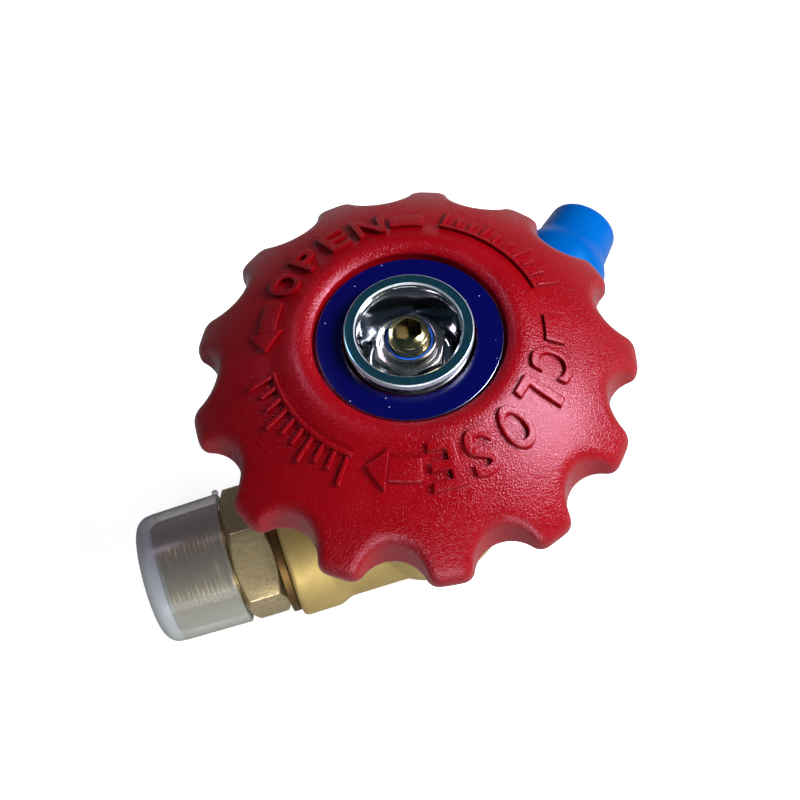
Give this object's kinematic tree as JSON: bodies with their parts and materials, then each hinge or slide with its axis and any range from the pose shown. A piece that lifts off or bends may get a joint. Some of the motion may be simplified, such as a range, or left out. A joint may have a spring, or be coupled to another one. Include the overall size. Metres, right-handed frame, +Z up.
{
  "type": "shut-off valve",
  "caption": "Brass globe shut-off valve with a lobed red handwheel on a sprung hub and slip-on plastic caps over its threaded ports.",
  "frame": {"origin": "centre of the flat foot under the body, on the stem's axis", "axes": "+Z up the stem to the handwheel; the inlet points along -X and the outlet 44 degrees from +X towards +Y"},
  "size_m": [0.1127, 0.0908, 0.0788],
  "materials": {
    "red_paint": "textured red coating on a die casting",
    "blue_plate": "dark blue gloss",
    "bright_steel": "bright nickel plate",
    "spring_steel": "drawn wire",
    "plated_steel": "bright plated",
    "blue_nylon": "satin",
    "stem_brass": "turned",
    "white_seal": "smooth",
    "black_rubber": "smooth",
    "forged_brass": "dull forged skin",
    "turned_brass": "turned and dulled",
    "copper_ring": "dark sealing ring",
    "clear_cap": "translucent soft plastic",
    "blue_cap": "satin soft plastic"
  },
  "bodies": {
    "body": {"valve_body": "forged_brass", "bonnet": "turned_brass", "bonnet_gasket": "copper_ring", "inlet_adapter": "turned_brass", "inlet_seal": "copper_ring", "outlet_adapter": "turned_brass", "outlet_seal": "copper_ring", "thrust_washer": "plated_steel"},
    "wheel": {"handwheel": "red_paint", "hub_plate": "blue_plate", "spring_cup": "bright_steel", "stem_spring": "spring_steel", "lock_nut": "plated_steel", "nylon_insert": "blue_nylon", "upper_stem": "stem_brass", "stem_seal": "white_seal", "stem_o_ring": "black_rubber"},
    "spindle": {"lower_stem": "stem_brass"},
    "disc": {"disc_holder": "stem_brass", "seat_disc": "white_seal", "disc_screw": "plated_steel"},
    "clear_cap": {"inlet_cap": "clear_cap"},
    "blue_cap": {"outlet_cap": "blue_cap"}
  },
  "joints": [
    {"name": "handwheel_turn", "type": "hinge", "parent": "body", "child": "wheel", "pos_m": [0, 0, 0.064], "axis": [0, 0, 1], "range_deg": [0, 720]},
    {"name": "stem_lift", "type": "slide", "parent": "wheel", "child": "spindle", "axis": [0, 0, 1], "range_m": [0, 0.004]},
    {"name": "disc_swivel", "type": "hinge", "parent": "spindle", "child": "disc", "pos_m": [0, 0, 0.03], "axis": [0, 0, 1], "continuous": true},
    {"name": "inlet_cap_pull", "type": "slide", "parent": "body", "child": "clear_cap", "axis": [-1, 0, 0], "range_m": [0, 0.02]},
    {"name": "outlet_cap_pull", "type": "slide", "parent": "body", "child": "blue_cap", "axis": [0.7193, 0.6947, 0], "range_m": [0, 0.02]}
  ],
  "couplings": [
    {"joint": "stem_lift", "follows": "handwheel_turn", "m_per_rad": 0.0003183}
  ]
}
